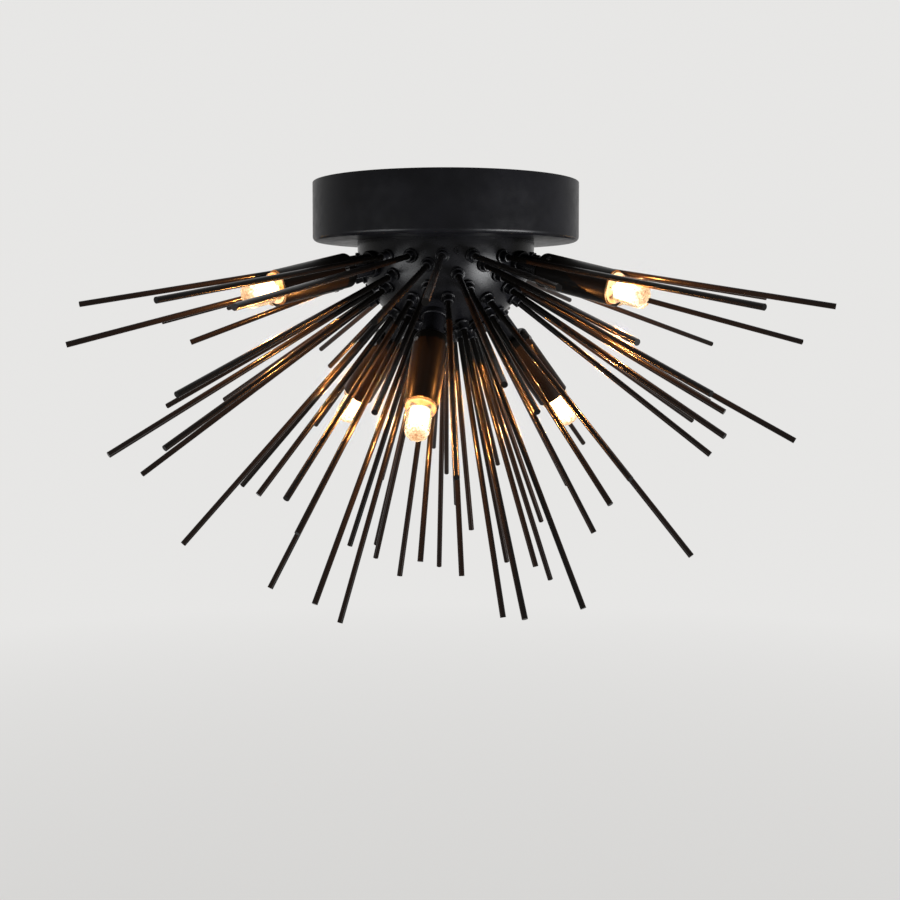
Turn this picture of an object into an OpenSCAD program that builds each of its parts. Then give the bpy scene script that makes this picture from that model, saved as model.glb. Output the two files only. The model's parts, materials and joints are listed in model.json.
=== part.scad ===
// Flush mount ceiling light: a round canopy carries a half-ball hub, and straight rods
// and seven tubular lamp holders stand out from the hub like the spines of an urchin.
// The ceiling plane is z = 0 and the light hangs below it. A direction on the hub is a
// tilt below the horizontal and an azimuth, which is 0 at the front (-Y) and grows to +X.

/* [Canopy] */
// Outer diameter of the canopy
canopy_d = 152.4; // [146:0.2:180]
// Height of the canopy under the ceiling
canopy_h = 33.4; // [28:0.2:40]
// Thickness of the canopy's sheet
canopy_wall = 1.2; // [0.8:0.1:2]
// Radius of the canopy's bottom edge
canopy_edge_r = 2.5; // [2:0.1:6]

/* [Ceiling bracket] */
// Length of the bracket strap
bracket_l = 110; // [104:1:130]
// Width of the bracket strap
bracket_w = 20; // [18:1:26]
// Thickness of the bracket strap
bracket_t = 2; // [1.5:0.1:3]
// Distance between the two slot centres
slot_spacing = 79.4; // [76:0.1:84]
// Length of a slot from end to end
slot_l = 15; // [10:0.5:16]
// Width of a slot
slot_w = 5; // [4.4:0.1:6]
// Distance of the ground screw from the centre
ground_x = 22; // [18:0.5:25]
// Diameter of the ground screw's thread
ground_d = 3.8; // [3:0.1:4.2]
// Diameter of the ground screw's head
ground_head_d = 8; // [6:0.2:9]
// Height of the ground screw's head
ground_head_h = 2.6; // [2:0.1:3.5]

/* [Threaded nipple] */
// Outer diameter of the hollow nipple
nipple_d = 10; // [9:0.1:11]
// Bore of the nipple
nipple_bore = 7; // [6.4:0.1:7.6]
// Gap between the nipple's top and the ceiling plane
nipple_top_gap = 0.3; // [0.2:0.1:1]
// Length of the nipple's end inside the wiring block
nipple_in_block = 7.5; // [5:0.5:10]
// Width of the nuts on the nipple, across the flats
nut_flats = 16; // [14:0.5:19]
// Height of the bracket nut
bracket_nut_h = 5; // [3:0.5:7]
// Height of the nut that clamps the canopy
canopy_nut_h = 3.5; // [3:0.1:5]
// Diameter of the washer under the canopy
washer_d = 24; // [20:1:34]
// Thickness of the washer
washer_t = 1; // [0.8:0.1:1.6]

/* [Hub] */
// Outer diameter of the hub
hub_d = 101.6; // [96:0.2:110]
// Thickness of the hub's shell
hub_wall = 1.6; // [1.2:0.1:2.2]
// Height of the hub's straight rim above its half ball
hub_rim_h = 1.8; // [1.4:0.1:5]
// Thickness of the ring plate that holds the hub
ring_t = 1.2; // [1:0.1:2]
// Width of a tab on the ring
tab_w = 7; // [6:0.5:8]
// Thickness of a tab on the ring
tab_t = 3; // [2:0.1:4]
// Depth of the set screws below the canopy
hub_screw_drop = 7.8; // [7.4:0.1:9]
// Width of a tab past its screw's axis
tab_end = 3; // [2.5:0.1:3.4]
// Diameter of the hub's set screws
hub_screw_d = 3; // [2.5:0.1:3.5]
// Height by which a set screw stands out
screw_proud = 0.5; // [0.2:0.1:1]
// Azimuths of the three set screws
hub_screw_az = [7, 122, -122];

/* [Rods] */
// Diameter of a rod
rod_d = 3.2; // [2.4:0.1:3.6]
// Length of a rod inside the hub's shell
rod_inside = 2.5; // [1:0.1:4]
// Diameter of a collar's flange
collar_flange_d = 8; // [6.6:0.1:8.2]
// Thickness of a collar's flange
collar_flange_h = 1.5; // [0.8:0.1:2.5]
// Diameter of a collar's boss
collar_boss_d = 5.4; // [5:0.1:6.4]
// Height of a collar's boss
collar_boss_h = 4; // [2:0.1:6]
// Bevel on the end of a collar's boss
collar_bevel = 0.5; // [0.2:0.1:0.6]

/* [Lamp stems] */
// Diameter of a lamp's collar on the hub
lamp_collar_d = 15; // [13.4:0.1:15.2]
// Thickness of a lamp's collar
lamp_collar_h = 3; // [2:0.1:5]
// Diameter of the stem's neck
neck_d = 12; // [10:0.1:13]
// Length of the neck between the collar and the cup
neck_len = 12.4; // [11:0.1:20]
// Diameter of the stem's threaded tail
tail_d = 8; // [7:0.1:8.6]
// Length of the tail past its nut
tail_past_nut = 0.6; // [0.4:0.1:2]
// Bore of the stem for the leads
stem_bore = 5; // [4.6:0.1:5.6]
// Diameter of the stem's plug in the cup
plug_d = 16.8; // [15:0.1:17]
// Length of the plug
plug_len = 9; // [7:0.1:12]
// Width of a tail nut, across the flats
lamp_nut_flats = 11; // [10:0.1:11.6]
// Height of a tail nut
lamp_nut_h = 3.2; // [2.4:0.1:4]

/* [Lamp cups] */
// Outer diameter of a cup
cup_d = 19; // [18.6:0.1:20]
// Thickness of a cup's tube
cup_wall = 0.9; // [0.6:0.1:1]
// Length of a cup
cup_len = 45; // [40:0.5:50]
// Thickness of a cup's closed end
cup_end_t = 1.6; // [1:0.1:2.4]
// Radius of a cup's rounded shoulder
cup_edge_r = 2.5; // [2:0.1:3]
// Diameter of a cup's screws
cup_screw_d = 2.8; // [2.2:0.1:3.2]
// Distance of the screws from the cup's closed end
cup_screw_at = 5; // [4:0.1:6.5]
// Depth of a screw in the plug
cup_screw_in = 4; // [2:0.1:4.6]
// Angle of the first cup screw around the cup
cup_screw_turn = 100; // [0:1:119]

/* [Sockets] */
// Diameter of the ceramic socket
socket_d = 16.6; // [15.6:0.1:16.6]
// Length of the ceramic socket
socket_len = 29.4; // [24:0.1:30]
// Length of the socket's slot for the bulb's pinch
pinch_slot_l = 14.2; // [13.8:0.1:14.4]
// Width of that slot
pinch_slot_w = 5.4; // [5:0.1:6]
// Depth of that slot
pinch_slot_h = 7.7; // [7.6:0.1:9]
// Distance between the two contacts
contact_pitch = 9; // [8.8:0.1:9.2]
// Outer diameter of a contact sleeve
contact_d = 4.2; // [3.8:0.1:4.4]
// Wall of a contact sleeve
contact_wall = 0.5; // [0.3:0.1:0.6]
// Length of a contact sleeve
contact_len = 7.8; // [7:0.1:9]
// Depth of the wire room in the socket's base
wire_room_h = 4; // [3:0.1:6]

/* [Bulbs] */
// Diameter of the bulb's rim at the cup's mouth
bulb_rim_d = 16.6; // [15:0.1:16.6]
// Height of the rim
bulb_rim_h = 8.8; // [6:0.1:10]
// Radius of the rim's rounded front edge
bulb_rim_r = 2.2; // [1:0.1:3]
// Diameter of the bulb's tube
bulb_tube_d = 13.4; // [12:0.1:14]
// Length of the tube
bulb_tube_len = 12; // [10:0.1:20]
// Radius of the tube's rounded shoulder
bulb_shoulder_r = 0.5; // [0.3:0.1:1.6]
// Diameter of the bulb's domed tip
bulb_tip_d = 12.4; // [11:0.1:13]
// Length of the tip
bulb_tip_len = 4.6; // [4:0.1:7]
// Radius of the tip's rounded end
bulb_tip_r = 2.7; // [1.6:0.1:3]
// Number of ribs round the tip
tip_ribs = 8; // [6:1:10]
// Diameter of a rib
tip_rib_d = 1.6; // [1.2:0.1:2.4]
// Length of a rib
tip_rib_len = 2.6; // [1.6:0.1:3.2]
// Thickness of the bulb's glass
glass_t = 1; // [0.7:0.1:1.4]
// Width of the glass pinch
pinch_l = 13; // [12:0.1:13.2]
// Thickness of the glass pinch
pinch_t = 4.2; // [3:0.1:4.4]
// Length of a pin below the pinch
pin_len = 6; // [5:0.1:6.6]
// Diameter of the pin wire
pin_wire_d = 0.7; // [0.5:0.1:0.8]
// Distance between the legs of one pin loop
pin_loop_w = 1.4; // [1:0.1:1.6]
// Diameter of the filament coil
filament_d = 1.6; // [1:0.1:2]
// Height of the filament above the bulb's rim
filament_at = 6; // [4:0.5:8]

/* [Wiring] */
// Diameter of the wiring block
block_d = 44; // [40:1:50]
// Height of the wiring block
block_h = 20; // [16:0.5:22]
// Diameter of a supply lead
supply_d = 2.2; // [1.6:0.1:2.4]
// Distance of a supply lead from the nipple's axis
supply_off = 1.8; // [1.6:0.1:1.8]
// Diameter of a lamp lead
lead_d = 1.6; // [1.2:0.1:1.8]
// Distance between the two leads of a lamp
lead_pitch = 2.2; // [2:0.1:2.6]

/* [Fits] */
// Radial clearance of a part in its hole
hole_gap = 0.1; // [0.05:0.01:0.2]
// Gap between parts that don't touch
free_gap = 0.3; // [0.2:0.05:0.5]

/* [Hidden] */
$fn = 48;
// Smoothness of small features
small_fn = 24;
// Extra length of a cutting tool past the face it cuts
cut = 1;

// Each rod ring is a tilt and its rods, each as azimuth and length outside the hub.
RINGS = [
    [9.5, [[-82, 157], [-39, 157], [-22, 179], [-2, 167], [17, 124], [38, 177],
           [73, 167], [84, 133], [134, 139], [150, 124], [167, 154], [-176, 124],
           [-159, 144], [-145, 134], [-133, 159]]],
    [15, [[-90, 119], [-73, 166], [-11, 119], [25, 153], [92, 165], [125, 178],
          [142, 98], [-167, 144]]],
    [21, [[-81, 104], [-37, 163], [8, 147], [37, 162], [167, 129], [-148, 125],
          [-176, 159]]],
    [29, [[-122, 145], [-100, 145], [-57, 175], [-45, 163], [-12, 125], [16, 125],
          [49, 154], [62, 136], [75, 172], [105, 141], [124, 177], [-162, 129]]],
    [37, [[-130, 69], [-86, 167], [-26, 157], [2, 140], [34, 146], [68, 140],
          [146, 163], [166, 139], [-177, 174], [-144, 139]]],
    [48, [[-106, 143], [-75, 173], [-54, 130], [-33, 148], [43, 133], [59, 172],
          [144, 156], [164, 139], [-180, 149], [-161, 154]]],
    [60, [[-155, 171], [-61, 166], [-38, 167], [21, 171], [40, 170], [62, 133],
          [142, 149], [176, 139]]],
    [72, [[-59, 171], [-14, 131], [28, 162], [59, 139], [104, 157], [143, 153],
          [-176, 159], [-135, 149], [-97, 134]]],
    [82, [[20, 138], [-88, 143], [140, 119]]]
];
// The rings that share one node of rods, counted from the top ring
ROD_GROUPS = [[0], [1], [2], [3], [4], [5], [6], [7, 8]];
// The rings that share one node of collars
COLLAR_GROUPS = [[0, 1, 2], [3, 4], [5, 6, 7, 8]];
// Tilt and azimuth of each lamp: four under the canopy and three lower down
LAMPS = [[13.5, -106], [13.5, -55], [13.5, 55], [13.5, 106],
         [52.5, -11], [52.5, 109], [52.5, -127]];

// Hub
hub_r = hub_d / 2;
hub_in_r = hub_r - hub_wall;
hub_z = -canopy_h - hub_rim_h;
hub_screw_z = -canopy_h - hub_screw_drop;
hub_screw_r = sqrt(pow(hub_r, 2) - pow(hub_screw_z - hub_z, 2));
tab_bottom_z = hub_screw_z - tab_end;
tab_reach = sqrt(pow(hub_in_r, 2) - pow(tab_bottom_z - hub_z, 2)) - free_gap;
tab_x = sqrt(pow(tab_reach, 2) - pow(tab_w / 2, 2)) - tab_t;
ring_r = hub_in_r - free_gap;

// Stack on the nipple, from the canopy's underside down
washer_z = -canopy_h - ring_t - washer_t;
canopy_nut_z = washer_z - canopy_nut_h;
block_top_z = canopy_nut_z - free_gap;
nipple_end_z = block_top_z - nipple_in_block;
block_floor_z = nipple_end_z - free_gap;
block_bottom_z = block_top_z - block_h;
nipple_hole_r = nipple_d / 2 + hole_gap;

// Rods
rod_hole_r = rod_d / 2 + hole_gap;
rod_start = hub_in_r - rod_inside;
collar_seat = sqrt(pow(hub_r, 2) - pow(rod_hole_r, 2));

// Lamp, as distances from the hub's centre along the lamp's axis
tail_hole_r = tail_d / 2 + hole_gap;
lamp_seat = sqrt(pow(hub_r, 2) - pow(tail_hole_r, 2));
neck_at = lamp_seat + lamp_collar_h;
cup_at = neck_at + neck_len;
plug_at = cup_at + cup_end_t;
socket_at = plug_at + plug_len;
socket_end = socket_at + socket_len;
contact_floor = socket_end - pinch_slot_h - contact_len;
rim_at = socket_end + free_gap;
tube_at = rim_at + bulb_rim_h;
tip_at = tube_at + bulb_tube_len;
pinch_at = socket_end - pinch_slot_h + free_gap;
pin_at = pinch_at - pin_len;
filament_z = tube_at + filament_at;
hollow_at = rim_at + bulb_rim_h / 2;
lamp_nut_r = lamp_nut_flats / 2 / cos(30);
lamp_nut_at = sqrt(pow(hub_in_r, 2) - pow(lamp_nut_r, 2)) - lamp_nut_h;
tail_at = lamp_nut_at - tail_past_nut;
lead_end = socket_at + wire_room_h - free_gap;
lead_start = block_d / 2;

BULB_COUNT = len(LAMPS);

metal_black = [0.09, 0.09, 0.10];
rod_black = [0.12, 0.11, 0.11];
steel = [0.62, 0.63, 0.65];
brass = [0.75, 0.60, 0.30];
ceramic = [0.92, 0.90, 0.85];

// Puts +Z along a direction on the hub, with the origin at the hub's centre
module on_hub(tilt, azimuth) {
    translate([0, 0, hub_z]) rotate([0, 90 + tilt, azimuth - 90]) children();
}

// Puts +X towards an azimuth
module on_side(azimuth) {
    rotate([0, 0, azimuth - 90]) children();
}

module at_lamp(i) {
    on_hub(LAMPS[i - 1][0], LAMPS[i - 1][1]) children();
}

module at_lamps() {
    for (lamp = LAMPS) on_hub(lamp[0], lamp[1]) children();
}

module at_rods(rings) {
    for (k = rings, rod = RINGS[k][1]) on_hub(RINGS[k][0], rod[0]) children();
}

module tube(outer_r, inner_r, h) {
    difference() {
        cylinder(r = outer_r, h = h);
        translate([0, 0, -cut]) cylinder(r = inner_r, h = h + 2 * cut);
    }
}

module hex_nut(flats, bore_r, h) {
    difference() {
        cylinder(r = flats / 2 / cos(30), h = h, $fn = 6);
        translate([0, 0, -cut]) cylinder(r = bore_r, h = h + 2 * cut);
    }
}

// Half outline of a flat-bottomed pot with a rounded bottom edge, bottom at y = 0
module pot_outline(r, h, edge_r) {
    translate([0, edge_r]) square([r, h - edge_r]);
    square([r - edge_r, h]);
    translate([r - edge_r, edge_r]) circle(r = edge_r);
}

// Half outline of the hub: a quarter round under a straight rim
module hub_outline(r, rim_h) {
    intersection() {
        circle(r = r);
        translate([0, -r]) square([r, r]);
    }
    square([r, rim_h]);
}

module canopy() {
    color(metal_black) difference() {
        translate([0, 0, -canopy_h]) rotate_extrude() difference() {
            pot_outline(canopy_d / 2, canopy_h, canopy_edge_r);
            translate([0, canopy_wall])
                pot_outline(canopy_d / 2 - canopy_wall, canopy_h, canopy_edge_r - canopy_wall);
        }
        translate([0, 0, -canopy_h - cut]) cylinder(r = nipple_hole_r, h = canopy_wall + 2 * cut);
    }
}

module slot(x) {
    half = (slot_l - slot_w) / 2;
    for (side = [-half, half])
        translate([x + side, 0, -bracket_t - cut]) cylinder(d = slot_w, h = bracket_t + 2 * cut);
    translate([x - half, -slot_w / 2, -bracket_t - cut])
        cube([2 * half, slot_w, bracket_t + 2 * cut]);
}

module ceiling_bracket() {
    color(steel) difference() {
        translate([-bracket_l / 2, -bracket_w / 2, -bracket_t])
            cube([bracket_l, bracket_w, bracket_t]);
        translate([0, 0, -bracket_t - cut]) cylinder(r = nipple_hole_r, h = bracket_t + 2 * cut);
        translate([ground_x, 0, -bracket_t - cut])
            cylinder(r = ground_d / 2 + hole_gap, h = bracket_t + 2 * cut);
        slot(-slot_spacing / 2);
        slot(slot_spacing / 2);
    }
}

module ground_screw() {
    color("green") translate([ground_x, 0, 0]) {
        translate([0, 0, -bracket_t - ground_head_h])
            cylinder(d = ground_head_d, h = ground_head_h, $fn = 6);
        translate([0, 0, -bracket_t - ground_head_h / 2])
            cylinder(d = ground_d, h = bracket_t + ground_head_h / 2 - free_gap);
    }
}

module nipple() {
    color(brass) translate([0, 0, nipple_end_z])
        tube(nipple_d / 2, nipple_bore / 2, -nipple_top_gap - nipple_end_z);
}

module bracket_nut() {
    color(brass) translate([0, 0, -bracket_t - bracket_nut_h])
        hex_nut(nut_flats, nipple_hole_r, bracket_nut_h);
}

module canopy_washer() {
    color(steel) translate([0, 0, washer_z]) tube(washer_d / 2, nipple_hole_r, washer_t);
}

module canopy_nut() {
    color(brass) translate([0, 0, canopy_nut_z]) hex_nut(nut_flats, nipple_hole_r, canopy_nut_h);
}

module hub_screw_bore(r, from_x, to_x) {
    for (az = hub_screw_az)
        on_side(az) translate([from_x, 0, hub_screw_z]) rotate([0, 90, 0])
            cylinder(r = r, h = to_x - from_x);
}

module hub_ring() {
    color(steel) difference() {
        union() {
            translate([0, 0, -canopy_h - ring_t]) cylinder(r = ring_r, h = ring_t);
            for (az = hub_screw_az)
                on_side(az) translate([tab_x, -tab_w / 2, tab_bottom_z])
                    cube([tab_t, tab_w, -canopy_h - tab_bottom_z - ring_t / 2]);
        }
        translate([0, 0, -canopy_h - ring_t - cut]) cylinder(r = nipple_hole_r, h = ring_t + 2 * cut);
        hub_screw_bore(hub_screw_d / 2 + hole_gap, tab_x - cut, hub_r);
    }
}

module hub_set_screws() {
    socket_r = hub_screw_d / 4;
    color(metal_black) for (az = hub_screw_az)
        on_side(az) translate([tab_x, 0, hub_screw_z]) rotate([0, 90, 0]) difference() {
            cylinder(d = hub_screw_d, h = hub_screw_r + screw_proud - tab_x);
            translate([0, 0, hub_screw_r + screw_proud - tab_x - hub_screw_d / 2])
                cylinder(r = socket_r, h = hub_screw_d, $fn = 6);
        }
}

module hub_shell() {
    color(metal_black) difference() {
        translate([0, 0, hub_z]) rotate_extrude() difference() {
            hub_outline(hub_r, hub_rim_h);
            hub_outline(hub_in_r, hub_rim_h + cut);
        }
        for (ring = RINGS, rod = ring[1])
            on_hub(ring[0], rod[0]) translate([0, 0, hub_in_r - cut])
                cylinder(r = rod_hole_r, h = hub_wall + 2 * cut);
        at_lamps() translate([0, 0, hub_in_r - cut])
            cylinder(r = tail_hole_r, h = hub_wall + 2 * cut);
        hub_screw_bore(hub_screw_d / 2 + hole_gap, hub_in_r - 2 * cut, hub_r + cut);
    }
}

module wiring_block() {
    color(ceramic) difference() {
        translate([0, 0, block_bottom_z]) cylinder(d = block_d, h = block_h);
        translate([0, 0, block_floor_z])
            cylinder(r = nipple_hole_r, h = block_top_z - block_floor_z + cut);
    }
}

module supply_leads() {
    lead_colours = ["white", "dimgray", "green"];
    for (k = [0 : 2])
        color(lead_colours[k]) rotate([0, 0, 120 * k]) translate([supply_off, 0, block_floor_z])
            cylinder(d = supply_d, h = -nipple_top_gap - block_floor_z);
}

module rods(g) {
    color(rod_black) for (k = ROD_GROUPS[g - 1], rod = RINGS[k][1])
        on_hub(RINGS[k][0], rod[0]) translate([0, 0, rod_start])
            cylinder(d = rod_d, h = hub_r + rod[1] - rod_start);
}

module rod_collar() {
    boss_r = collar_boss_d / 2;
    top = collar_flange_h + collar_boss_h;
    rotate_extrude() polygon([
        [rod_hole_r, 0], [collar_flange_d / 2, 0], [collar_flange_d / 2, collar_flange_h],
        [boss_r, collar_flange_h], [boss_r, top - collar_bevel],
        [boss_r - collar_bevel, top], [rod_hole_r, top]
    ]);
}

module rod_collars(g) {
    color(metal_black) at_rods(COLLAR_GROUPS[g - 1])
        translate([0, 0, collar_seat]) rod_collar();
}

module lamp_collars() {
    color(metal_black) at_lamps() translate([0, 0, lamp_seat])
        tube(lamp_collar_d / 2, tail_hole_r, lamp_collar_h);
}

// Angles of the three screws round a cup
module at_cup_screws() {
    for (k = [0 : 2])
        rotate([0, 0, cup_screw_turn + 120 * k]) translate([0, 0, plug_at + cup_screw_at])
            rotate([0, 90, 0]) children();
}

module lamp_stems() {
    color(metal_black) at_lamps() difference() {
        union() {
            translate([0, 0, tail_at]) cylinder(d = tail_d, h = plug_at - tail_at);
            translate([0, 0, neck_at]) cylinder(d = neck_d, h = plug_at - neck_at);
            translate([0, 0, plug_at]) rotate_extrude()
                pot_outline(plug_d / 2, plug_len, cup_edge_r - cup_wall);
        }
        translate([0, 0, tail_at - cut])
            cylinder(d = stem_bore, h = socket_at - tail_at + 2 * cut);
        at_cup_screws() translate([0, 0, plug_d / 2 - cup_screw_in])
            cylinder(r = cup_screw_d / 2 + hole_gap, h = cup_screw_in + cut);
    }
}

module lamp_nuts() {
    color(steel) at_lamps() translate([0, 0, lamp_nut_at])
        hex_nut(lamp_nut_flats, tail_hole_r, lamp_nut_h);
}

module cup(i) {
    color(metal_black) at_lamp(i) difference() {
        translate([0, 0, cup_at]) rotate_extrude() difference() {
            pot_outline(cup_d / 2, cup_len, cup_edge_r);
            translate([0, cup_end_t])
                pot_outline(cup_d / 2 - cup_wall, cup_len, cup_edge_r - cup_wall);
        }
        translate([0, 0, cup_at - cut])
            cylinder(r = neck_d / 2 + hole_gap, h = cup_end_t + 2 * cut);
        at_cup_screws() translate([0, 0, plug_d / 2 - cut])
            cylinder(r = cup_screw_d / 2 + hole_gap, h = cup_wall + 3 * cut);
    }
}

module cup_screws() {
    out = cup_d / 2 + screw_proud;
    inner_end = plug_d / 2 - cup_screw_in;
    color(steel) at_lamps() at_cup_screws() difference() {
        translate([0, 0, inner_end]) cylinder(d = cup_screw_d, h = out - inner_end);
        translate([-cup_screw_d, -cup_screw_d / 8, out - cup_screw_d / 4])
            cube([2 * cup_screw_d, cup_screw_d / 4, cup_screw_d]);
    }
}

module at_contacts() {
    for (side = [-1, 1]) translate([0, side * contact_pitch / 2, 0]) children();
}

module socket(i) {
    color(ceramic) at_lamp(i) difference() {
        translate([0, 0, socket_at]) cylinder(d = socket_d, h = socket_len);
        translate([-pinch_slot_w / 2, -pinch_slot_l / 2, socket_end - pinch_slot_h])
            cube([pinch_slot_w, pinch_slot_l, pinch_slot_h + cut]);
        at_contacts() translate([0, 0, contact_floor])
            cylinder(r = contact_d / 2 + hole_gap, h = contact_len + cut);
        translate([0, 0, socket_at - cut]) cylinder(d = stem_bore, h = wire_room_h + cut);
    }
}

module socket_contacts() {
    color(brass) at_lamps() at_contacts() translate([0, 0, contact_floor])
        tube(contact_d / 2, contact_d / 2 - contact_wall, contact_len);
}

// Round glass body along a lamp's axis, with its far edge rounded
module glass_body(at, d, h, edge_r) {
    translate([0, 0, at + h]) rotate([180, 0, 0]) rotate_extrude() pot_outline(d / 2, h, edge_r);
}

module bulb_glass(i) {
    rib_off = bulb_tip_d / 2 - tip_rib_d / 4;
    color([1, 0.93, 0.8, 0.6]) at_lamp(i) difference() {
        union() {
            glass_body(rim_at, bulb_rim_d, bulb_rim_h, bulb_rim_r);
            glass_body(tube_at, bulb_tube_d, bulb_tube_len, bulb_shoulder_r);
            glass_body(tip_at, bulb_tip_d, bulb_tip_len, bulb_tip_r);
            for (k = [0 : tip_ribs - 1])
                rotate([0, 0, 360 * k / tip_ribs]) translate([rib_off, 0, tip_at])
                    cylinder(d = tip_rib_d, h = tip_rib_len, $fn = small_fn);
            translate([-pinch_t / 2, -pinch_l / 2, pinch_at])
                cube([pinch_t, pinch_l, rim_at - pinch_at]);
        }
        translate([0, 0, hollow_at])
            cylinder(r = bulb_tube_d / 2 - glass_t, h = tip_at - glass_t - hollow_at);
        at_contacts() translate([0, 0, pinch_at - cut])
            cylinder(d = pin_wire_d, h = rim_at + bulb_rim_h - pinch_at + cut);
    }
}

// One wire loop and its support wire for each contact, joined by the filament
module bulb_filament(i) {
    color(steel) at_lamp(i) {
        at_contacts() {
            for (leg = [-1, 1])
                translate([leg * pin_loop_w / 2, 0, pin_at + pin_wire_d / 2])
                    cylinder(d = pin_wire_d, h = pin_len - pin_wire_d / 2);
            for (z = [pin_at + pin_wire_d / 2, pinch_at - pin_wire_d / 2])
                translate([-pin_loop_w / 2, 0, z]) rotate([0, 90, 0])
                    cylinder(d = pin_wire_d, h = pin_loop_w);
            translate([0, 0, pinch_at - pin_wire_d / 2])
                cylinder(d = pin_wire_d, h = filament_z - pinch_at + pin_wire_d / 2);
        }
        translate([0, -contact_pitch / 2, filament_z]) rotate([-90, 0, 0])
            cylinder(d = filament_d, h = contact_pitch);
    }
}

// Two leads for each lamp, from the wiring block through the stem to the socket
module lamp_leads() {
    color("ivory") difference() {
        at_lamps() for (side = [-1, 1])
            translate([0, side * lead_pitch / 2, lead_start])
                cylinder(d = lead_d, h = lead_end - lead_start);
        translate([0, 0, block_bottom_z]) cylinder(d = block_d, h = block_h);
    }
}

canopy();
ceiling_bracket();
ground_screw();
nipple();
bracket_nut();
hub_ring();
canopy_washer();
canopy_nut();
hub_shell();
hub_set_screws();
wiring_block();
supply_leads();
lamp_collars();
lamp_stems();
lamp_nuts();
cup_screws();
socket_contacts();
lamp_leads();
for (g = [1 : len(ROD_GROUPS)])
    rods(g);
for (g = [1 : len(COLLAR_GROUPS)])
    rod_collars(g);
for (i = [1 : BULB_COUNT]) {
    cup(i);
    socket(i);
    bulb_glass(i);
    bulb_filament(i);
}
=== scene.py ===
import json
import math

import bmesh
import bpy
from mathutils import Matrix, Vector


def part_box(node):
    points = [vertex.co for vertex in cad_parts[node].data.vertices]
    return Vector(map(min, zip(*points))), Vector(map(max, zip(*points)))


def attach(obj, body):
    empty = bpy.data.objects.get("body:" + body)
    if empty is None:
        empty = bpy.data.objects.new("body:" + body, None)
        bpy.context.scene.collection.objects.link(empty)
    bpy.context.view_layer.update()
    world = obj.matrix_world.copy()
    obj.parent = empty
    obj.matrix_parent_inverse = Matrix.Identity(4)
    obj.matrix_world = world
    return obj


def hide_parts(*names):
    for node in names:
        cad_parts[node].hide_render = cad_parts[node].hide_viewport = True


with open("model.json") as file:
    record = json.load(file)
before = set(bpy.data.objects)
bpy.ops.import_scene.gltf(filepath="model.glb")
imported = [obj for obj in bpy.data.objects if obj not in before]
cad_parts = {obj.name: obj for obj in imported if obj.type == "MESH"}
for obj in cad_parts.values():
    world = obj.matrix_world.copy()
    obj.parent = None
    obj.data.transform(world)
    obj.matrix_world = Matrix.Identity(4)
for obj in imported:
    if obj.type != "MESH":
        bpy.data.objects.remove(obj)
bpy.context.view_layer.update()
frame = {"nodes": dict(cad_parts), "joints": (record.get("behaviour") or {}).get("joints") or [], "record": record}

# Sizes in metres
MM = 0.001
TAU = 2 * math.pi

# The photograph's camera: it looks along +Y, a little down, with a small shift
CAMERA_PLACE = (0.0024, -0.7021, -0.0788)
CAMERA_TILT = math.radians(2.685)
CAMERA_LENS = 48.54
CAMERA_SENSOR = 36.0
CAMERA_SHIFT = -0.08
CAMERA_NEAR = 0.01
CAMERA_FAR = 200

# Round forms: how many sides they have, and from which angle on an edge stays sharp
CANOPY_SIDES = 160
ENVELOPE_SIDES = 96
FLOOR_SIDES = 96
SIDES = 64
LAMP_COLLAR_SIDES = 48
SMALL_SIDES = 28
SHARP = math.radians(38)
# A point of an outline that is nearer to the axis than this lies on it
ON_AXIS = 1e-7
# Corners of the solids that agree to this many digits are one corner
CORNER_DIGITS = 7

# Measures that are the same as in the solids
CANOPY_WALL = 1.2 * MM
CANOPY_EDGE_R = 2.5 * MM
CANOPY_HOLE_R = 5.1 * MM
COLLAR_FLANGE_H = 1.5 * MM
COLLAR_BOSS_R = 2.7 * MM
LAMP_COLLAR_BORE_R = 4.1 * MM
NECK_R = 6.0 * MM
NECK_GAP = 0.1 * MM
CUP_WALL = 0.9 * MM
CUP_END_T = 1.6 * MM
CUP_EDGE_R = 2.5 * MM
BULB_RIM_H = 8.8 * MM
BULB_RIM_R = 8.3 * MM
BULB_RIM_ROLL = 2.2 * MM
BULB_TUBE_R = 6.7 * MM
BULB_TUBE_LEN = 12.0 * MM
BULB_SHOULDER_R = 0.5 * MM
BULB_TIP_R = 6.2 * MM
BULB_TIP_LEN = 4.6 * MM
BULB_RIBS = 8
GLASS_T = 1.0 * MM
PINCH_L = 13.0 * MM
PINCH_T = 4.2 * MM

# The warm light of one bulb: watts, colour and depth below the start of the bulb's tip
BULB_POWER = 1.6
BULB_COLOUR = (1.0, 0.37, 0.085)
BULB_LIGHT_DEPTH = 3.0 * MM
# Distances from the hub's centre between which a bulb's lit core fades
CORE_FADE_FROM = 121.2 * MM
CORE_FADE_TO = 131.1 * MM

# The pale stage
PALE = (0.80, 0.795, 0.785)
SOFT_WHITE = (1.0, 0.99, 0.97)
SOFT_STRENGTH = 0.5
FLOOR_Z = -0.95
FLOOR_R = 40.0
# The floor turns into the backdrop between these distances, from this share on
FADE_FROM = 0.6
FADE_TO = 3.0
FADE_LEAST = 0.45

# Directions and distances of the lights from the hub's centre, and their sizes
RIGHT_WAY = (0.743, -0.46, -0.49)
LEFT_WAY = (-0.737, -0.508, -0.438)
TOP_WAY = (0.15, 0.7, 0.9)
RIGHT_AWAY = 1.25
LEFT_AWAY = 1.35
TOP_AWAY = 1.8
FRONT_SIZE = (0.8, 0.8)
TOP_SIZE = (2.4, 2.4)
SHEEN_SIZE = (0.6, 0.34)


# Measuring the frame

def hub_centre():
    """Centre of the hub's ball, from its box."""
    low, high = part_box("hub_shell")
    return Vector((0, 0, low.z + (high.x - low.x) / 2))


HUB = hub_centre()


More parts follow.
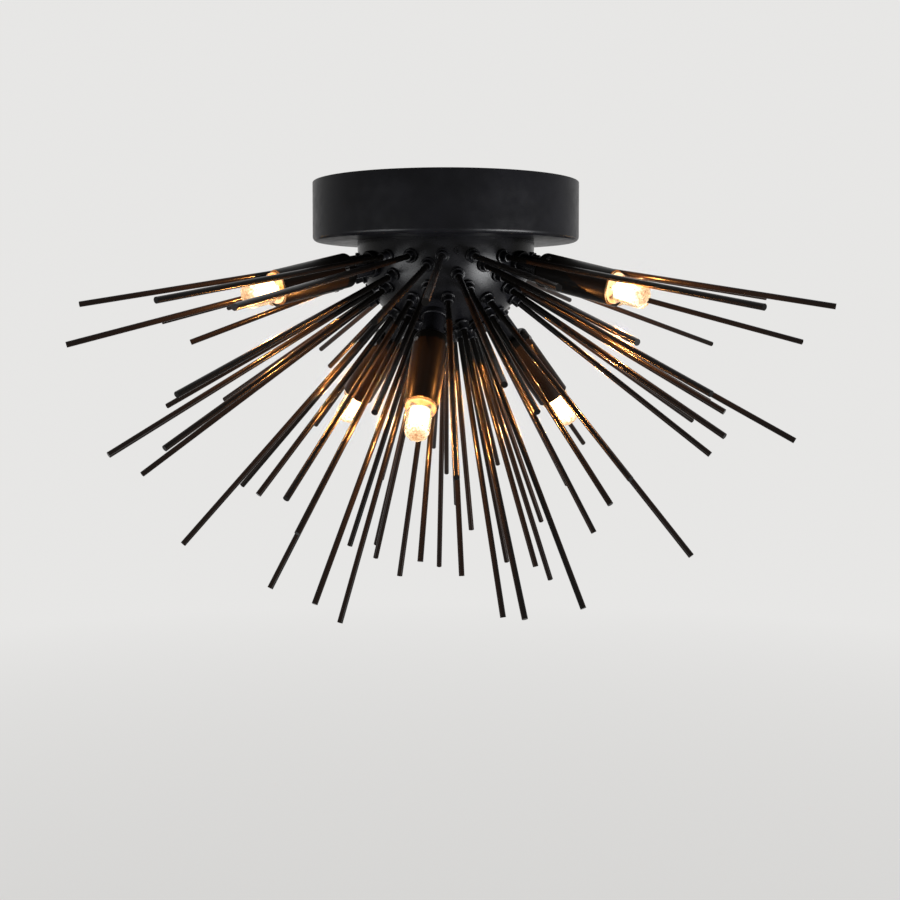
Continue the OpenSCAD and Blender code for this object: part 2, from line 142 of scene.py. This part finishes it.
def islands(node):
    """The corners of each separate solid of a node, as lists of points."""
    mesh = frame["nodes"][node].data
    key = [tuple(round(c, CORNER_DIGITS) for c in v.co) for v in mesh.vertices]
    parent = {k: k for k in key}

    def root(k):
        while parent[k] != k:
            parent[k] = parent[parent[k]]
            k = parent[k]
        return k

    for face in mesh.polygons:
        first = root(key[face.vertices[0]])
        for v in face.vertices[1:]:
            parent[root(key[v])] = first
    groups = {}
    for k in parent:
        groups.setdefault(root(k), []).append(Vector(k))
    return [groups[k] for k in sorted(groups)]


def along(points, axis):
    """Lowest and highest distance from the hub's centre along an axis, and the radius."""
    steps = [(p - HUB).dot(axis) for p in points]
    radius = max(((p - HUB) - axis * s).length for p, s in zip(points, steps))
    return min(steps), max(steps), radius


def node_along(node, axis):
    """The same for all corners of a node."""
    return along([v.co for v in frame["nodes"][node].data.vertices], axis)


def spikes(node):
    """Axis, start, end and radius of each round solid of a node that points at the hub."""
    found = []
    for points in islands(node):
        centre = sum(points, Vector()) / len(points)
        axis = (centre - HUB).normalized()
        found.append((axis, *along(points, axis)))
    return found


def nodes_named(start):
    return sorted(n for n in frame["nodes"] if n.startswith(start))


def lamp_axes():
    return [Vector(j["axis"]).normalized() for j in frame["joints"]]


def to_axis(axis):
    """Turns +Z to an axis at the hub's centre, with the same roll as in the solids."""
    side = Vector((0, 0, 1)).cross(axis).normalized()
    front = side.cross(axis)
    turn = Matrix((front, side, axis)).transposed().to_4x4()
    return Matrix.Translation(HUB) @ turn


def bulb_stations(index, axis):
    """Where the bulb's pinch, rim, tube and tip start and where it ends."""
    pinch, end, _ = node_along(f"bulb_glass_{index}", axis)
    tip = end - BULB_TIP_LEN
    tube = tip - BULB_TUBE_LEN
    return pinch, tube - BULB_RIM_H, tube, tip, end


# Building shaders

# The range that noise seldom leaves
NOISE_LOW = 0.3
NOISE_HIGH = 0.7
# Below the low value a cloudy surface has its first colour, above the high one its second
CLOUD_LOW = 0.35
CLOUD_HIGH = 0.65
GLASS_IOR = 1.46


def new_material(name):
    mat = bpy.data.materials.new(name)
    mat.use_nodes = True
    nodes = mat.node_tree.nodes
    return mat, nodes, mat.node_tree.links, nodes["Principled BSDF"]


def noise(nodes, links, scale, detail=4.0, rough=0.5):
    coords = nodes.new("ShaderNodeTexCoord")
    tex = nodes.new("ShaderNodeTexNoise")
    tex.inputs["Scale"].default_value = scale
    tex.inputs["Detail"].default_value = detail
    tex.inputs["Roughness"].default_value = rough
    links.new(coords.outputs["Object"], tex.inputs["Vector"])
    return tex.outputs["Fac"]


def distance_from(nodes, links, centre):
    coords = nodes.new("ShaderNodeTexCoord")
    reach = nodes.new("ShaderNodeVectorMath")
    reach.operation = "DISTANCE"
    reach.inputs[1].default_value = centre
    links.new(coords.outputs["Object"], reach.inputs[0])
    return reach.outputs["Value"]


def combine(nodes, links, operation, first, second):
    node = nodes.new("ShaderNodeMath")
    node.operation = operation
    links.new(first, node.inputs[0])
    links.new(second, node.inputs[1])
    return node.outputs[0]


def remap(nodes, links, value, low, high, from_low=NOISE_LOW, from_high=NOISE_HIGH):
    """Stretches a value from one range to another, by default from the range of noise."""
    node = nodes.new("ShaderNodeMapRange")
    node.inputs["From Min"].default_value = from_low
    node.inputs["From Max"].default_value = from_high
    node.inputs["To Min"].default_value = low
    node.inputs["To Max"].default_value = high
    links.new(value, node.inputs["Value"])
    return node.outputs["Result"]


def colour_ramp(nodes, links, value, stops):
    """The colour at a value, from stops of a position and a colour in rising order."""
    ramp = nodes.new("ShaderNodeValToRGB")
    while len(ramp.color_ramp.elements) < len(stops):
        ramp.color_ramp.elements.new(0.5)
    for element, (position, colour) in zip(ramp.color_ramp.elements, stops):
        element.position = position
        element.color = (*colour, 1)
    links.new(value, ramp.inputs["Fac"])
    return ramp.outputs["Color"]


def clouds(nodes, links, first, second, scale):
    """Two colours that run into each other in clouds."""
    cloud = noise(nodes, links, scale)
    return colour_ramp(nodes, links, cloud, [(CLOUD_LOW, first), (CLOUD_HIGH, second)])


def bump(nodes, links, shader, value, strength, distance):
    node = nodes.new("ShaderNodeBump")
    node.inputs["Strength"].default_value = strength
    node.inputs["Distance"].default_value = distance
    links.new(value, node.inputs["Height"])
    links.new(node.outputs["Normal"], shader.inputs["Normal"])


def painted(name, first, second, rough, grain, gloss, bump_strength=0.15):
    """Sprayed satin enamel: faint cloudy colour, uneven gloss and a fine orange-peel."""
    mat, nodes, links, shader = new_material(name)
    streaks = noise(nodes, links, scale=160, detail=6, rough=0.6)
    peel = noise(nodes, links, scale=grain, detail=3)
    links.new(clouds(nodes, links, first, second, scale=38), shader.inputs["Base Color"])
    links.new(remap(nodes, links, streaks, low=rough - 0.05, high=rough + 0.07),
              shader.inputs["Roughness"])
    shader.inputs["Specular IOR Level"].default_value = gloss
    bump(nodes, links, shader, peel, strength=bump_strength, distance=0.05 * MM)
    return mat


def metal(name, first, second, rough):
    """Bare metal with a cloudy tone and fine marks."""
    mat, nodes, links, shader = new_material(name)
    streaks = noise(nodes, links, scale=300, detail=6)
    marks = noise(nodes, links, scale=900, detail=5)
    shader.inputs["Metallic"].default_value = 1.0
    links.new(clouds(nodes, links, first, second, scale=90), shader.inputs["Base Color"])
    links.new(remap(nodes, links, streaks, low=rough - 0.08, high=rough + 0.1),
              shader.inputs["Roughness"])
    bump(nodes, links, shader, marks, strength=0.1, distance=0.04 * MM)
    return mat


def plain_plastic(name, first, second, rough):
    """Plastic or glazed ceramic with a faintly uneven tone and a fine grain."""
    mat, nodes, links, shader = new_material(name)
    streaks = noise(nodes, links, scale=400)
    grain = noise(nodes, links, scale=1500)
    links.new(clouds(nodes, links, first, second, scale=120), shader.inputs["Base Color"])
    links.new(remap(nodes, links, streaks, low=rough - 0.05, high=rough + 0.08),
              shader.inputs["Roughness"])
    shader.inputs["Specular IOR Level"].default_value = 0.5
    bump(nodes, links, shader, grain, strength=0.12, distance=0.03 * MM)
    return mat


def clear_glass(name, rough, tint):
    """The bulb's envelope: pressed glass with a faint unevenness, warm from its light."""
    mat, nodes, links, shader = new_material(name)
    streaks = noise(nodes, links, scale=300)
    waves = noise(nodes, links, scale=150, detail=1)
    shader.inputs["Base Color"].default_value = (*tint, 1)
    shader.inputs["Transmission Weight"].default_value = 1.0
    shader.inputs["IOR"].default_value = GLASS_IOR
    links.new(remap(nodes, links, streaks, low=rough * 0.7, high=rough * 1.4),
              shader.inputs["Roughness"])
    bump(nodes, links, shader, waves, strength=0.25, distance=0.3 * MM)
    return mat


def glow(name, strength, stops, fade=None):
    """The lit inside of a bulb. Its light runs through stops of a position and a colour, in
    soft patches or along fade, the two distances from the hub's centre that are 0 and 1."""
    mat, nodes, links, shader = new_material(name)
    if fade:
        near, far = fade
        reach = distance_from(nodes, links, HUB)
        way = remap(nodes, links, reach, 0.0, 1.0, from_low=near, from_high=far)
        grain = noise(nodes, links, scale=900, detail=3)
        place = combine(nodes, links, "ADD", way, remap(nodes, links, grain, low=-0.2, high=0.2))
    else:
        place = noise(nodes, links, scale=140, detail=2)
    shader.inputs["Base Color"].default_value = (0.05, 0.04, 0.03, 1)
    shader.inputs["Roughness"].default_value = 0.6
    links.new(colour_ramp(nodes, links, place, stops), shader.inputs["Emission Color"])
    shader.inputs["Emission Strength"].default_value = strength
    return mat


# Materials

# The blacks are darker than real paint, because their gloss mirrors the pale stage
CANOPY_BLACK = painted("canopy_black", (0.0008, 0.0008, 0.0010), (0.0014, 0.0014, 0.0018),
                       rough=0.33, grain=2600, gloss=0.06)
HUB_BLACK = painted("hub_black", (0.0008, 0.0008, 0.0010), (0.0014, 0.0014, 0.0017),
                    rough=0.25, grain=2600, gloss=0.085, bump_strength=0.08)
ROD_BLACK = painted("rod_black", (0.0022, 0.0018, 0.0015), (0.0034, 0.0027, 0.0022),
                    rough=0.20, grain=900, gloss=0.10, bump_strength=0.012)
CUP_BLACK = painted("cup_black", (0.0020, 0.0016, 0.0013), (0.0032, 0.0025, 0.0020),
                    rough=0.32, grain=2800, gloss=0.055, bump_strength=0.08)
GREEN = painted("ground_green", (0.03, 0.24, 0.07), (0.04, 0.30, 0.09),
                rough=0.35, grain=2000, gloss=0.5)
ZINC = metal("zinc_steel", (0.50, 0.51, 0.53), (0.60, 0.61, 0.62), rough=0.34)
SCREW = metal("screw_steel", (0.22, 0.21, 0.21), (0.34, 0.33, 0.32), rough=0.30)
BRASS = metal("brass", (0.62, 0.44, 0.18), (0.74, 0.55, 0.26), rough=0.30)
WIRE = metal("bulb_wire", (0.50, 0.48, 0.45), (0.62, 0.60, 0.56), rough=0.28)
CERAMIC = plain_plastic("ceramic_white", (0.74, 0.70, 0.62), (0.82, 0.79, 0.72), rough=0.42)
BLOCK = plain_plastic("block_white", (0.70, 0.69, 0.66), (0.78, 0.77, 0.74), rough=0.5)
LEAD = plain_plastic("lead_insulation", (0.66, 0.63, 0.56), (0.76, 0.73, 0.66), rough=0.45)
GLASS = clear_glass("bulb_glass", rough=0.19, tint=(1.0, 0.66, 0.36))
HOT = glow("bulb_hot", 9.0, [(0.0, (1.0, 0.90, 0.76)), (0.30, (1.0, 0.93, 0.82)),
                             (0.52, (0.34, 0.29, 0.23)), (0.76, (0.13, 0.105, 0.078)),
                             (0.90, (0.105, 0.075, 0.048)), (1.0, (0.07, 0.036, 0.017))],
           fade=(CORE_FADE_FROM, CORE_FADE_TO))
EMBER = glow("bulb_ember", 1.9, [(0.44, (1.0, 0.80, 0.50)), (0.62, (1.0, 0.40, 0.07))])
SLOT_MATERIAL = {
    "canopy_black": CANOPY_BLACK, "hub_black": HUB_BLACK, "rod_black": ROD_BLACK,
    "cup_black": CUP_BLACK, "zinc_steel": ZINC, "screw_steel": SCREW, "brass": BRASS,
    "ground_green": GREEN, "block_white": BLOCK, "lead_insulation": LEAD,
    "ceramic_white": CERAMIC, "bulb_glass": GLASS, "bulb_wire": WIRE,
}

# The pieces that a bulb's light, its glowing core and the two sheens on the paint fall on
DARK_PIECES = bpy.data.collections.new("dark_pieces")
GLASS_PIECES = bpy.data.collections.new("glass_pieces")
SHEEN_PIECES = bpy.data.collections.new("sheen_pieces")
LIT_GROUPS = {
    "canopy_black": [SHEEN_PIECES], "hub_black": [DARK_PIECES, SHEEN_PIECES],
    "rod_black": [DARK_PIECES], "cup_black": [DARK_PIECES], "bulb_glass": [GLASS_PIECES],
}


def link_to_lights(obj, slot):
    for group in LIT_GROUPS.get(slot, []):
        group.objects.link(obj)


def finish_cad_nodes():
    slots = {s["node"]: s["material_slot"] for s in frame["record"]["subparts"]}
    for node, obj in frame["nodes"].items():
        obj.data.materials.clear()
        obj.data.materials.append(SLOT_MATERIAL[slots[node]])
        link_to_lights(obj, slots[node])


# Building meshes

def lathe(outline, sides, ripple=None):
    """A closed solid of revolution from (radius, height) points. ripple(angle, height)
    scales the radius. Points on the axis become one vertex."""
    verts, faces, rows = [], [], []
    for radius, height in outline:
        if radius < ON_AXIS:
            rows.append([len(verts)] * sides)
            verts.append(Vector((0, 0, height)))
            continue
        row = []
        for k in range(sides):
            angle = TAU * k / sides
            r = radius * (ripple(angle, height) if ripple else 1)
            row.append(len(verts))
            verts.append(Vector((r * math.cos(angle), r * math.sin(angle), height)))
        rows.append(row)
    count = len(rows)
    has_bore = outline[0][0] > ON_AXIS or outline[-1][0] > ON_AXIS
    for i in range(count if has_bore else count - 1):
        low, high = rows[i], rows[(i + 1) % count]
        for k in range(sides):
            n = (k + 1) % sides
            corners = [low[k], low[n], high[n], high[k]]
            face = [c for j, c in enumerate(corners) if c != corners[j - 1]]
            if len(set(face)) > 2:
                faces.append(face)
    return verts, faces


def arc(centre_r, centre_z, radius, start, end, steps):
    """Points of an arc in an outline, from one angle to another, in degrees."""
    points = []
    for k in range(steps + 1):
        a = math.radians(start + (end - start) * k / steps)
        points.append((centre_r + radius * math.cos(a), centre_z + radius * math.sin(a)))
    return points


def wall(radius, start, end, shares):
    """Points on a straight wall of an outline, at shares of the way from start to end."""
    return [(radius, start + (end - start) * share) for share in shares]


def lip(outer, inner, end, radius):
    """The rounded free edge of a tube, from its outer to its inner face."""
    return (arc(outer - radius, end - radius, radius, 0, 90, 3)
            + arc(inner + radius, end - radius, radius, 90, 180, 3))


def make_piece(name, parts, material, slot, body, replaced=(), hollows=()):
    """One object from several closed (vertices, faces) parts, each with its own matrix.
    The faces of the parts whose numbers are in hollows look inwards."""
    mesh = bpy.data.meshes.new(name)
    made = bmesh.new()
    for number, ((points, polygons), matrix) in enumerate(parts):
        verts = [made.verts.new(matrix @ p) for p in points]
        faces = [made.faces.new([verts[i] for i in f]) for f in polygons]
        bmesh.ops.recalc_face_normals(made, faces=faces)
        if number in hollows:
            bmesh.ops.reverse_faces(made, faces=faces)
    made.to_mesh(mesh)
    made.free()
    obj = bpy.data.objects.new(name, mesh)
    bpy.context.scene.collection.objects.link(obj)
    mesh.polygons.foreach_set("use_smooth", [True] * len(mesh.polygons))
    mesh.set_sharp_from_angle(angle=SHARP)
    mesh.materials.append(material)
    link_to_lights(obj, slot)
    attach(obj, body)
    if replaced:
        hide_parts(*replaced)
    return obj


# The metal pieces

def canopy_piece():
    low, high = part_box("canopy")
    r, bottom, h = high.x, low.z, high.z - low.z
    edge, bead = CANOPY_EDGE_R, 0.35 * MM
    outline = [(CANOPY_HOLE_R, bottom)]
    outline += [(r * share, bottom) for share in (0.35, 0.7)]
    outline += arc(r - edge, bottom + edge, edge, -90, 0, 10)
    outline += wall(r, bottom, bottom + h, (0.35, 0.65))
    outline += lip(r, r - CANOPY_WALL, bottom + h, bead)
    outline += arc(r - edge, bottom + edge, edge - CANOPY_WALL, 0, -90, 6)
    outline += [(CANOPY_HOLE_R, bottom + CANOPY_WALL)]
    make_piece("canopy_body", [(lathe(outline, CANOPY_SIDES), Matrix())], CANOPY_BLACK,
               "canopy_black", "root", ["canopy"])


def rod_outline(start, end, r):
    """A cut bar: flat ends with the edge just broken."""
    bevel = 0.08 * MM
    return [(0, start), (r - bevel, start), (r, start + bevel), (r, end - bevel),
            (r - bevel, end), (0, end)]


def rod_pieces():
    for node in nodes_named("rods_"):
        parts = [(lathe(rod_outline(start, end, r), SMALL_SIDES), to_axis(axis))
                 for axis, start, end, r in spikes(node)]
        make_piece(node + "_bars", parts, ROD_BLACK, "rod_black", "root", [node])


def collar_outline(start, end, r):
    """A turned collar: a flange with a rolled rim, a groove and a boss with a rounded end."""
    bore, boss = 1.65 * MM, COLLAR_BOSS_R
    flange = start + COLLAR_FLANGE_H
    skirt, roll = 0.12 * MM, 0.55 * MM
    groove, groove_off, groove_dip, groove_wall = 0.3 * MM, 0.45 * MM, 0.05 * MM, 0.25 * MM
    end_edge, end_wall = 0.5 * MM, 0.7 * MM
    mouth, mouth_depth = 0.12 * MM, 0.3 * MM
    outline = [(bore, start), (r - roll * 0.5, start - skirt)]
    outline += arc(r - roll, flange - roll, roll, -35, 90, 6)
    outline += [(boss + groove_off + groove, flange - groove_dip)]
    outline += arc(boss + groove_off, flange, groove, -20, -160, 4)
    outline += [(boss, flange + groove_wall), (boss, end - end_wall)]
    outline += arc(boss - end_edge, end - end_edge, end_edge, 0, 80, 4)
    outline += [(bore + mouth, end), (bore, end - mouth_depth)]
    return outline


def collar_pieces():
    for node in nodes_named("rod_collars_"):
        parts = [(lathe(collar_outline(start, end, r), SMALL_SIDES), to_axis(axis))
                 for axis, start, end, r in spikes(node)]
        make_piece(node + "_turned", parts, HUB_BLACK, "hub_black", "root", [node])


def lamp_collar_outline(start, end, r):
    """A thick washer with a rolled rim and a shallow recess round the neck."""
    skirt, roll = 0.4 * MM, 0.7 * MM
    recess, recess_edge, recess_floor = 0.35 * MM, NECK_R + 0.9 * MM, NECK_R + 0.6 * MM
    outline = [(LAMP_COLLAR_BORE_R, start), (r - skirt, start - skirt)]
    outline += arc(r - roll, start + roll * 0.6, roll, -50, 0, 4)
    outline += arc(r - roll, end - roll, roll, 0, 90, 6)
    outline += [(recess_edge, end), (recess_floor, end - recess),
                (LAMP_COLLAR_BORE_R, end - recess)]
    return outline


def lamp_collar_pieces():
    parts = [(lathe(lamp_collar_outline(start, end, r), LAMP_COLLAR_SIDES), to_axis(axis))
             for axis, start, end, r in spikes("lamp_collars")]
    make_piece("lamp_collars_turned", parts, HUB_BLACK, "hub_black", "root", ["lamp_collars"])


def cup_pieces(index, axis):
    name = f"cup_{index}"
    start, end, r = node_along(name, axis)
    edge, inner_edge = CUP_EDGE_R, CUP_EDGE_R - CUP_WALL
    inner, floor, hole = r - CUP_WALL, start + CUP_END_T, NECK_R + NECK_GAP
    bead = 0.25 * MM
    outline = [(hole, start)]
    outline += arc(r - edge, start + edge, edge, -90, 0, 8)
    outline += wall(r, start, end, (0.4, 0.7))
    outline += lip(r, inner, end, bead)
    outline += wall(inner, start, end, (0.7, 0.4))
    outline += arc(inner - inner_edge, floor + inner_edge, inner_edge, 0, -90, 5)
    outline += [(hole, floor)]
    make_piece(name + "_tube", [(lathe(outline, SIDES), to_axis(axis))], CUP_BLACK,
               "cup_black", "root", [name])


# The bulbs

def crown_ripple(tip):
    """Soft lobes that grow round the bulb's tip, with a slight unevenness."""
    before, reach = 1.0 * MM, 2.5 * MM
    rib, unevenness = 0.07, 0.02

    def scale(angle, height):
        grow = min(1.0, max(0.0, (height - tip + before) / reach))
        lobes = rib * math.cos(BULB_RIBS * angle) + unevenness * math.cos(3 * angle + 1)
        return 1 + grow * lobes
    return scale


def envelope_outline(rim, tube, tip, end):
    """The glass from its rim to its tip: a domed end with a small flat nub."""
    roll, shoulder = BULB_RIM_ROLL, BULB_SHOULDER_R
    foot, fillet = 0.9 * MM, 0.5 * MM
    dome = 3.9 * MM
    nub, nub_top, nub_h, nub_edge = 1.0 * MM, 0.8 * MM, 0.7 * MM, 0.1 * MM
    outline = [(0, rim), (BULB_RIM_R - foot, rim)]
    outline += arc(BULB_RIM_R - foot, rim + foot, foot, -80, 0, 4)
    outline += arc(BULB_RIM_R - roll, tube - roll, roll, 0, 80, 8)
    outline += arc(BULB_TUBE_R + fillet, tube + fillet, fillet, -100, -180, 3)
    outline += wall(BULB_TUBE_R, tube, tube + BULB_TUBE_LEN, (0.35, 0.7))
    outline += arc(BULB_TUBE_R - shoulder, tip - shoulder, shoulder, 0, 60, 4)
    outline += arc(BULB_TIP_R - dome, end - nub_h - dome, dome, 0, 84, 10)
    outline += [(nub, end - nub_h), (nub_top, end - nub_edge), (0, end)]
    return outline


def hollow_outline(rim, tip):
    """The sealed hollow, from the middle of the rim to just below the tip."""
    r, edge, below_tip = BULB_TUBE_R - GLASS_T, 1.4 * MM, 0.8 * MM
    floor, top = rim + BULB_RIM_H / 2, tip - below_tip
    return [(0, floor), (r, floor)] + arc(r - edge, top - edge, edge, 0, 90, 5) + [(0, top)]


def pinch_box(low, high):
    """The flat glass pinch with its edges cut off and its lower end drawn in."""
    a, b, cut, drawn_in = PINCH_T / 2, PINCH_L / 2, 0.5 * MM, 0.9
    ring = [(-a + cut, -b), (a - cut, -b), (a, -b + cut), (a, b - cut),
            (a - cut, b), (-a + cut, b), (-a, b - cut), (-a, -b + cut)]
    levels = [(low, drawn_in), (low + cut, 1.0), (high, 1.0)]
    verts = [Vector((x * s, y * s, z)) for z, s in levels for x, y in ring]
    count = len(ring)
    faces = [[count * i + k, count * i + (k + 1) % count,
              count * (i + 1) + (k + 1) % count, count * (i + 1) + k]
             for i in range(len(levels) - 1) for k in range(count)]
    faces += [list(range(count)), [count * (len(levels) - 1) + k for k in range(count)]]
    return verts, faces


def envelope_piece(index, axis):
    """The glass: shell, hollow and a pinch that reaches a little into the rim."""
    pinch, rim, tube, tip, end = bulb_stations(index, axis)
    turn, overlap = to_axis(axis), 0.3 * MM
    shell = lathe(envelope_outline(rim, tube, tip, end), ENVELOPE_SIDES, crown_ripple(tip))
    hollow = lathe(hollow_outline(rim, tip), SIDES)
    box = pinch_box(pinch, rim + overlap)
    obj = make_piece(f"bulb_{index}_envelope", [(shell, turn), (hollow, turn), (box, turn)],
                     GLASS, "bulb_glass", f"bulb_{index}", [f"bulb_glass_{index}"],
                     hollows=[1])
    obj.visible_shadow = False


def core_outline(rim, tip, end):
    """The lit core: a round bar of light with a domed end, from the rim into the tip."""
    r, edge = 5.2 * MM, 1.2 * MM
    dome, dome_step = 3.4 * MM, 0.2 * MM
    rim_share, below_end = 0.62, 1.5 * MM
    low, high = rim + BULB_RIM_H * rim_share, end - below_end
    outline = [(0, low)] + arc(r - edge, low + edge, edge, -90, 0, 4)
    outline += wall(r, low, tip, (0.5, 1.0))
    outline += arc(r - dome_step - dome, high - dome, dome, 0, 84, 6)
    return outline + [(0, high)]


def ember_outline(rim):
    """The warmer glow below the core: a thin disc with a round edge."""
    r, floor_share, top_share = 6.6 * MM, 0.52, 0.60
    floor, top = rim + BULB_RIM_H * floor_share, rim + BULB_RIM_H * top_share
    half = (top - floor) / 2
    return [(0, floor)] + arc(r - half, floor + half, half, -90, 90, 6) + [(0, top)]


def glow_pieces(index, axis):
    """What is lit inside a bulb: the core, which fades towards its tip, and the ember."""
    _, rim, _, tip, end = bulb_stations(index, axis)
    turn = to_axis(axis)
    for name, outline, material in (("core", core_outline(rim, tip, end), HOT),
                                    ("ember", ember_outline(rim), EMBER)):
        obj = make_piece(f"bulb_{index}_{name}", [(lathe(outline, SMALL_SIDES), turn)], material,
                         "bulb_glass", f"bulb_{index}")
        obj.visible_shadow = False
        obj.light_linking.receiver_collection = GLASS_PIECES
    bulb_light(index, turn @ Vector((0, 0, tip - BULB_LIGHT_DEPTH)))


def bulb_light(index, place):
    """The warm light that a lit bulb throws on the black pieces round it."""
    data = bpy.data.lights.new(f"bulb_{index}_light", "POINT")
    data.energy = BULB_POWER
    data.color = BULB_COLOUR
    data.shadow_soft_size = 0
    light = bpy.data.objects.new(f"bulb_{index}_light", data)
    bpy.context.scene.collection.objects.link(light)
    light.location = place
    light.light_linking.receiver_collection = DARK_PIECES
    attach(light, f"bulb_{index}")


# Stage, lights and camera

def pale_world():
    """Pale backdrop for the camera, gloss and glass, and a softer light for the rest."""
    world = bpy.data.worlds.new("pale_world")
    bpy.context.scene.world = world
    world.use_nodes = True
    nodes, links = world.node_tree.nodes, world.node_tree.links
    nodes.clear()
    path = nodes.new("ShaderNodeLightPath")
    seen = path.outputs["Is Camera Ray"]
    for kind in ("Is Glossy Ray", "Is Transmission Ray"):
        seen = combine(nodes, links, "MAXIMUM", seen, path.outputs[kind])
    soft, backdrop = nodes.new("ShaderNodeBackground"), nodes.new("ShaderNodeBackground")
    soft.inputs["Color"].default_value = (*SOFT_WHITE, 1)
    soft.inputs["Strength"].default_value = SOFT_STRENGTH
    backdrop.inputs["Color"].default_value = (*PALE, 1)
    backdrop.inputs["Strength"].default_value = 1.0
    mix, out = nodes.new("ShaderNodeMixShader"), nodes.new("ShaderNodeOutputWorld")
    links.new(seen, mix.inputs["Fac"])
    links.new(soft.outputs[0], mix.inputs[1])
    links.new(backdrop.outputs[0], mix.inputs[2])
    links.new(mix.outputs[0], out.inputs["Surface"])


def pale_floor():
    """A wide floor that keeps the object's soft shadow and fades into the backdrop."""
    bpy.ops.mesh.primitive_circle_add(vertices=FLOOR_SIDES, radius=FLOOR_R, fill_type="NGON",
                                      location=(0, 0, FLOOR_Z))
    floor = bpy.context.object
    floor.name = "floor"
    mat, nodes, links, shader = new_material("pale_floor")
    shader.inputs["Base Color"].default_value = (*PALE, 1)
    shader.inputs["Roughness"].default_value = 0.9
    shader.inputs["Specular IOR Level"].default_value = 0.1
    fade = remap(nodes, links, distance_from(nodes, links, (0, 0, 0)), FADE_LEAST, 1.0,
                 from_low=FADE_FROM, from_high=FADE_TO)
    far = nodes.new("ShaderNodeEmission")
    far.inputs["Color"].default_value = (*PALE, 1)
    far.inputs["Strength"].default_value = 1.0
    mix = nodes.new("ShaderNodeMixShader")
    links.new(fade, mix.inputs["Fac"])
    links.new(shader.outputs[0], mix.inputs[1])
    links.new(far.outputs[0], mix.inputs[2])
    links.new(mix.outputs[0], nodes["Material Output"].inputs["Surface"])
    floor.data.materials.append(mat)


def soft_light(name, direction, distance, size, power, colour=(1, 1, 1), receivers=None):
    """A flat light that looks at the hub's centre; size is (width, height)."""
    data = bpy.data.lights.new(name, "AREA")
    data.shape = "ELLIPSE"
    data.size, data.size_y = size
    data.energy = power
    data.color = colour
    light = bpy.data.objects.new(name, data)
    bpy.context.scene.collection.objects.link(light)
    way = Vector(direction).normalized()
    light.location = HUB + way * distance
    light.rotation_mode = "QUATERNION"
    light.rotation_quaternion = way.to_track_quat("Z", "Y")
    if receivers:
        light.light_linking.receiver_collection = receivers


def studio():
    pale_world()
    pale_floor()
    soft_light("right_front", RIGHT_WAY, RIGHT_AWAY, FRONT_SIZE, power=8.0)
    soft_light("left_front", LEFT_WAY, LEFT_AWAY, FRONT_SIZE, power=5.5)
    soft_light("top_back", TOP_WAY, TOP_AWAY, TOP_SIZE, power=9.0)
    soft_light("right_sheen", RIGHT_WAY, RIGHT_AWAY, SHEEN_SIZE, power=110.0,
               colour=(0.97, 0.98, 1.0), receivers=SHEEN_PIECES)
    soft_light("left_sheen", LEFT_WAY, LEFT_AWAY, SHEEN_SIZE, power=46.0,
               colour=(0.96, 0.98, 1.0), receivers=SHEEN_PIECES)


def photo_camera():
    data = bpy.data.cameras.new("photo_camera")
    data.lens = CAMERA_LENS
    data.sensor_width = CAMERA_SENSOR
    data.shift_y = CAMERA_SHIFT
    data.clip_start = CAMERA_NEAR
    data.clip_end = CAMERA_FAR
    camera = bpy.data.objects.new("photo_camera", data)
    bpy.context.scene.collection.objects.link(camera)
    camera.location = CAMERA_PLACE
    camera.rotation_euler = (math.pi / 2 - CAMERA_TILT, 0, 0)
    bpy.context.scene.camera = camera


photo_camera()
studio()
finish_cad_nodes()
canopy_piece()
rod_pieces()
collar_pieces()
lamp_collar_pieces()
for number, lamp_axis in enumerate(lamp_axes(), 1):
    cup_pieces(number, lamp_axis)
    envelope_piece(number, lamp_axis)
    glow_pieces(number, lamp_axis)

bpy.context.scene.view_settings.view_transform = "Standard"
bpy.context.view_layer.update()
